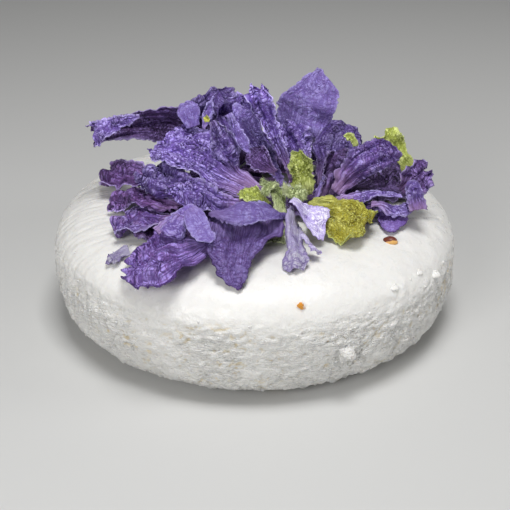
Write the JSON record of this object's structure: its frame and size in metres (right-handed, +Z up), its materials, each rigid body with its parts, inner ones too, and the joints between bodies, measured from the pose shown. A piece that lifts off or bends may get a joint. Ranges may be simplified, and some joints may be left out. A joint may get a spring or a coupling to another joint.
{
  "type": "round fresh goat cheese with dried flowers",
  "caption": "Round fresh white goat cheese with a rounded rim and rough side, heaped with dried violet mallow petals, pale petals and yellow-green leaf bits.",
  "frame": {"origin": "centre of the flat base, on the surface that the cheese stands on", "axes": "+Z up from the base through the flat top; -Y towards the side of the heap that the picture shows; +X to its right"},
  "size_m": [0.0792, 0.0793, 0.0467],
  "materials": {
    "cheese": "moist, slightly glossy fresh curd with a rough side",
    "violet_petal": "dry, finely veined petal with a faint sheen",
    "dark_petal": "dry, crumpled petal in shadow colours",
    "light_petal": "dry petal with a pale bluish face",
    "pale_petal": "dry, nearly see-through lavender petal",
    "leaf": "dry, brittle yellow-green leaf",
    "sepal": "dry, downy green sepal"
  },
  "bodies": {
    "root": {"cheese": "cheese", "core_left": "dark_petal", "core_right": "dark_petal", "core_back": "dark_petal", "under_left": "dark_petal", "core_mid": "dark_petal", "leaf_under": "sepal", "scrap_left": "pale_petal", "front_left": "violet_petal", "left_low": "violet_petal", "left_mid": "dark_petal", "left_up": "dark_petal", "left_knot": "violet_petal", "under_fan": "violet_petal", "fan": "violet_petal", "bud": "light_petal", "right_back": "dark_petal", "flat_right": "violet_petal", "right_low": "dark_petal", "ring_front": "violet_petal", "ring_low": "violet_petal", "leaf_big": "leaf", "leaf_left": "leaf", "calyx": "sepal", "sepal_left": "sepal", "sepal_right": "sepal", "drape": "violet_petal", "drape_lip": "light_petal", "pale_low": "pale_petal", "pale_side": "pale_petal", "pale_top": "pale_petal", "spire": "violet_petal", "spire_side": "light_petal", "right_dark": "dark_petal", "sail": "light_petal", "strap_left": "violet_petal", "strap_right": "light_petal", "flap": "violet_petal", "wing": "dark_petal", "wing_curl": "violet_petal", "back_left": "violet_petal", "cheek": "light_petal", "leaflet": "light_petal", "dome": "violet_petal", "shoulder": "violet_petal", "inner_tip": "violet_petal", "leaf_centre": "leaf", "curl_right": "leaf", "bit_left": "leaf", "right_stem": "light_petal", "far_tip": "dark_petal", "leaf_back": "leaf", "ring_side": "violet_petal", "back_mid": "violet_petal", "inner_strip": "light_petal", "inner_cup": "dark_petal", "under_sail": "violet_petal", "back_low": "violet_petal"}
  },
  "joints": []
}
